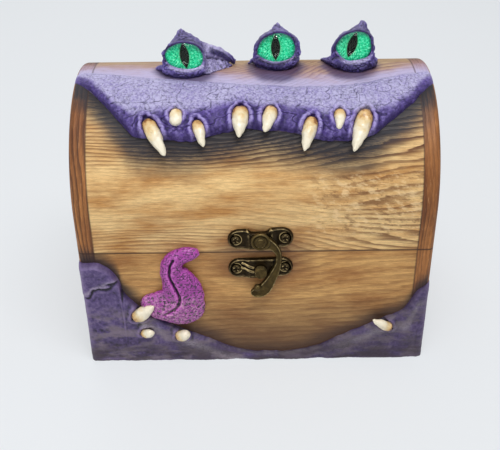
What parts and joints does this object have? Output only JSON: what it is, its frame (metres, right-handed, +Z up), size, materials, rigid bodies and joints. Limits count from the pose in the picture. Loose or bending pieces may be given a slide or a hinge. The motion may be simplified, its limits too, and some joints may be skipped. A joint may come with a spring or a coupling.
{
  "type": "dice storage chest",
  "caption": "Small arched wooden chest with a hinged lid, swing hook latch and modelled monster face: clay lips and teeth, glass eyes and a tongue; holds dice or game tokens.",
  "frame": {"origin": "middle of the underside, on the surface the chest stands on", "axes": "+X to the right as seen from the front, along the chest; +Y to the hinges at the rear; +Z up; the face looks along -Y"},
  "size_m": [0.15, 0.1036, 0.1413],
  "materials": {
    "stained_wood": "satin",
    "bronzed_brass": "aged, worn bright on the rims",
    "purple_clay": "painted and dry-brushed",
    "tooth_clay": "painted, varnished",
    "tongue_clay": "painted, varnished",
    "iris_paint": "painted",
    "lens_glass": "clear, polished"
  },
  "bodies": {
    "base": {"base_left_end": "stained_wood", "base_right_end": "stained_wood", "base_front_board": "stained_wood", "base_rear_board": "stained_wood", "base_floor_panel": "stained_wood", "latch_lower_plate": "bronzed_brass", "latch_catch_stud": "bronzed_brass", "latch_lower_screws": "bronzed_brass", "hinge_left_base_leaf": "bronzed_brass", "hinge_right_base_leaf": "bronzed_brass", "hinge_left_pin": "bronzed_brass", "hinge_right_pin": "bronzed_brass", "hinge_base_screws": "bronzed_brass", "lower_tooth_1": "tooth_clay", "lower_tooth_2": "tooth_clay", "lower_tooth_3": "tooth_clay", "lower_tooth_4": "tooth_clay", "lower_lip": "purple_clay", "tongue": "tongue_clay"},
    "lid": {"eye_left_iris": "iris_paint", "eye_left_lens": "lens_glass", "eye_left_socket": "purple_clay", "eye_middle_iris": "iris_paint", "eye_middle_lens": "lens_glass", "eye_middle_socket": "purple_clay", "eye_right_iris": "iris_paint", "eye_right_lens": "lens_glass", "eye_right_socket": "purple_clay", "hinge_left_lid_leaf": "bronzed_brass", "hinge_lid_screws": "bronzed_brass", "hinge_right_lid_leaf": "bronzed_brass", "latch_rivet": "bronzed_brass", "latch_upper_plate": "bronzed_brass", "latch_upper_screws": "bronzed_brass", "lid_arched_skin": "stained_wood", "lid_front_rail": "stained_wood", "lid_left_end": "stained_wood", "lid_rear_rail": "stained_wood", "lid_right_end": "stained_wood", "upper_lip": "purple_clay", "upper_tooth_1": "tooth_clay", "upper_tooth_2": "tooth_clay", "upper_tooth_3": "tooth_clay", "upper_tooth_4": "tooth_clay", "upper_tooth_5": "tooth_clay", "upper_tooth_6": "tooth_clay", "upper_tooth_7": "tooth_clay", "upper_tooth_8": "tooth_clay"},
    "hook": {"latch_hook": "bronzed_brass"}
  },
  "joints": [
    {"name": "lid_hinge", "type": "hinge", "parent": "base", "child": "lid", "pos_m": [0, 0.0478, 0.058], "axis": [-1, 0, 0], "range_deg": [0, 100]},
    {"name": "hook_swing", "type": "hinge", "parent": "lid", "child": "hook", "pos_m": [0.002, -0.0492, 0.0652], "axis": [0, -1, 0], "range_deg": [0, 110]}
  ]
}
